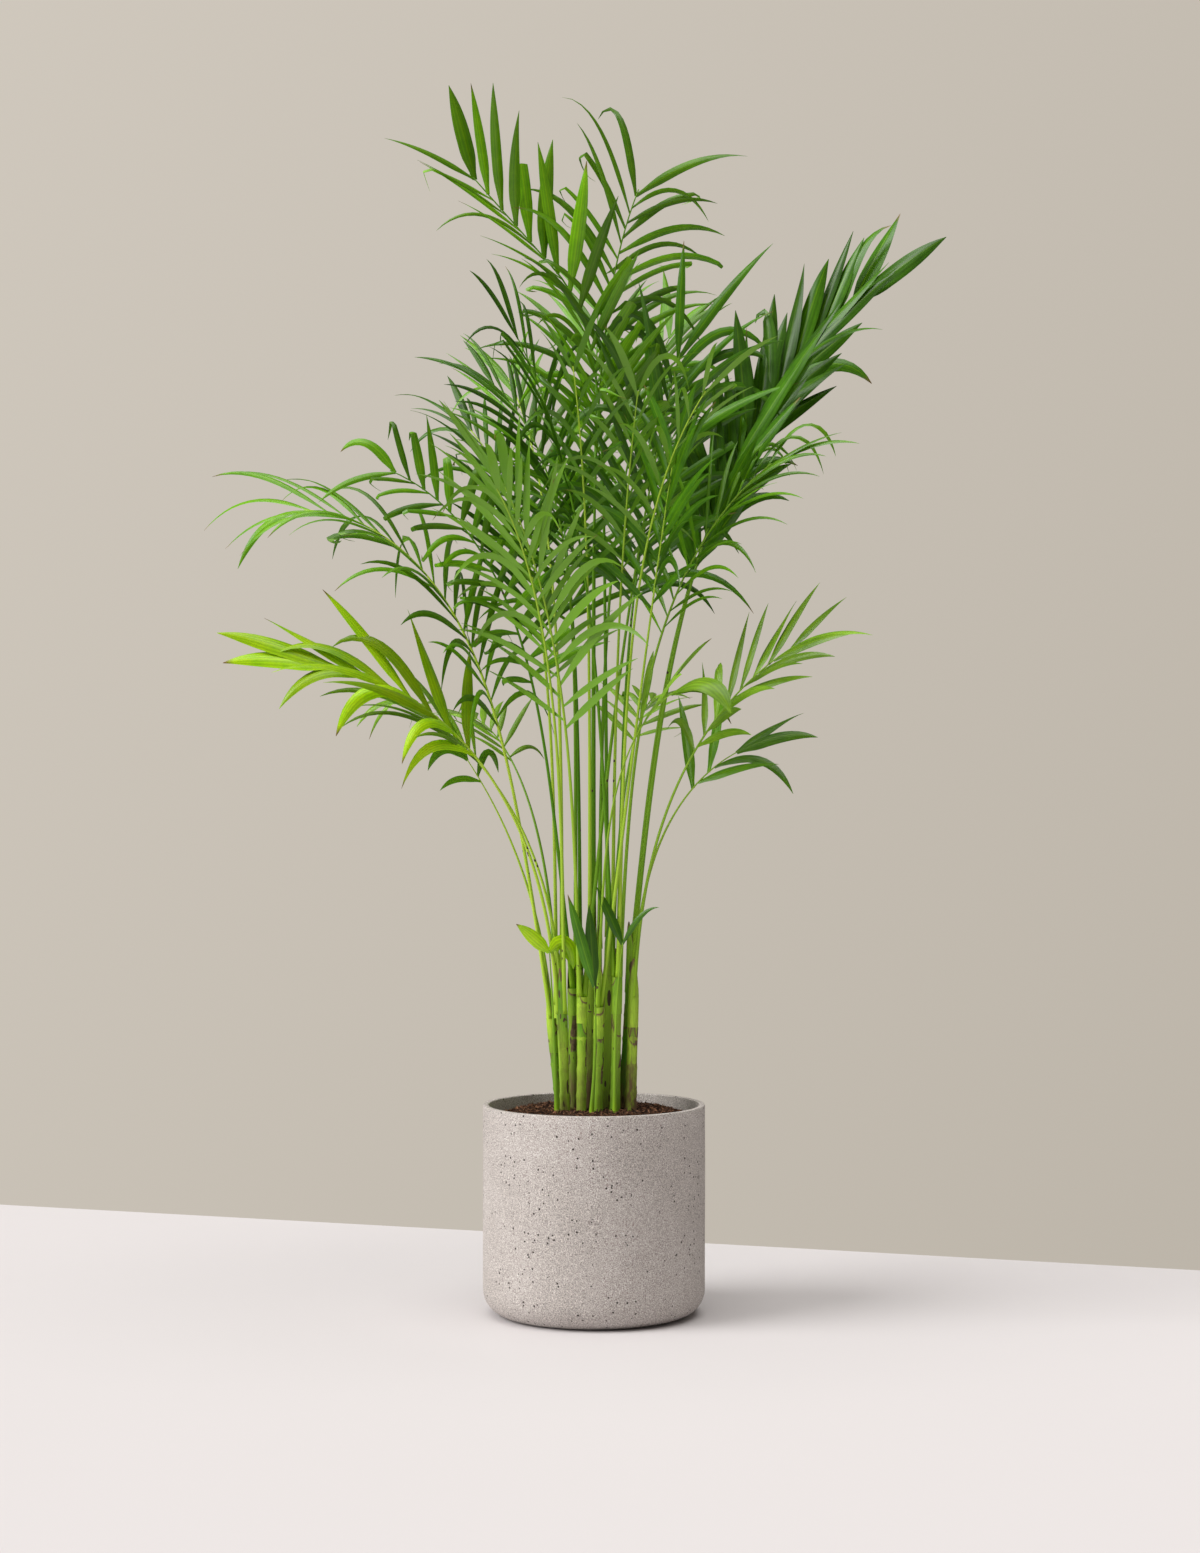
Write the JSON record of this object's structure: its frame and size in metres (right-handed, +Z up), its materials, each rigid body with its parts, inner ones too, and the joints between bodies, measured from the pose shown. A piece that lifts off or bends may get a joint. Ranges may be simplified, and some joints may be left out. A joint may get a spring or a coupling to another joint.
{
  "type": "potted cat palm",
  "caption": "Indoor cat palm: a clump of slender canes with long-stalked feather fronds in a plain straight-sided round pot.",
  "frame": {"origin": "centre of the pot's flat underside", "axes": "+Z up along the pot's axis, -Y towards the plant's front, +X to its right"},
  "size_m": [0.8736, 0.5883, 1.4601],
  "materials": {
    "pot": "matt stoneware with fine grain and scattered pinholes",
    "soil": "coarse dark potting mix",
    "cane": "smooth green cane with dry brown sheath scars",
    "leaf_dark": "satin leaf, deep green",
    "leaf_mid": "satin leaf, mid green",
    "leaf_fresh": "satin leaf, fresh green",
    "leaf_lime": "satin leaf, yellow-green"
  },
  "bodies": {
    "root": {"pot": "pot", "soil": "soil", "cane_frontA": "cane", "cane_frontB": "cane", "cane_frontC": "cane", "cane_frontD": "cane", "cane_frontE": "cane", "cane_middleA": "cane", "cane_middleB": "cane", "cane_middleC": "cane", "cane_middleD": "cane", "cane_middleE": "cane", "cane_backA": "cane", "cane_backB": "cane", "cane_backC": "cane", "cane_backD": "cane", "frond_leftLowSmall": "leaf_mid", "frond_leftLow": "leaf_fresh", "frond_leftLime": "leaf_lime", "frond_leftLong": "leaf_mid", "frond_leftUpper": "leaf_mid", "frond_topLeft": "leaf_mid", "frond_topLeftInner": "leaf_dark", "frond_topCentre": "leaf_mid", "frond_upperLeft": "leaf_dark", "frond_centreRight": "leaf_dark", "frond_rightTop": "leaf_dark", "frond_rightSecond": "leaf_dark", "frond_rightMid": "leaf_mid", "frond_rightLow": "leaf_fresh", "frond_rightNear": "leaf_fresh", "frond_rightLowest": "leaf_mid", "frond_frontCentre": "leaf_mid", "frond_middleRight": "leaf_mid", "frond_middleDark": "leaf_dark", "frond_frontLeft": "leaf_mid", "frond_frontRight": "leaf_mid", "frond_frontHigh": "leaf_dark", "frond_backLeft": "leaf_dark", "frond_backLeftHigh": "leaf_mid", "frond_backLow": "leaf_mid", "frond_backHigh": "leaf_mid", "frond_backRight": "leaf_dark", "frond_backRightHigh": "leaf_mid", "frond_backRightLow": "leaf_fresh", "frond_backLeftLow": "leaf_fresh", "young_shootLeft": "leaf_lime", "young_shootMiddle": "leaf_dark", "young_shootRight": "leaf_dark"}
  },
  "joints": []
}
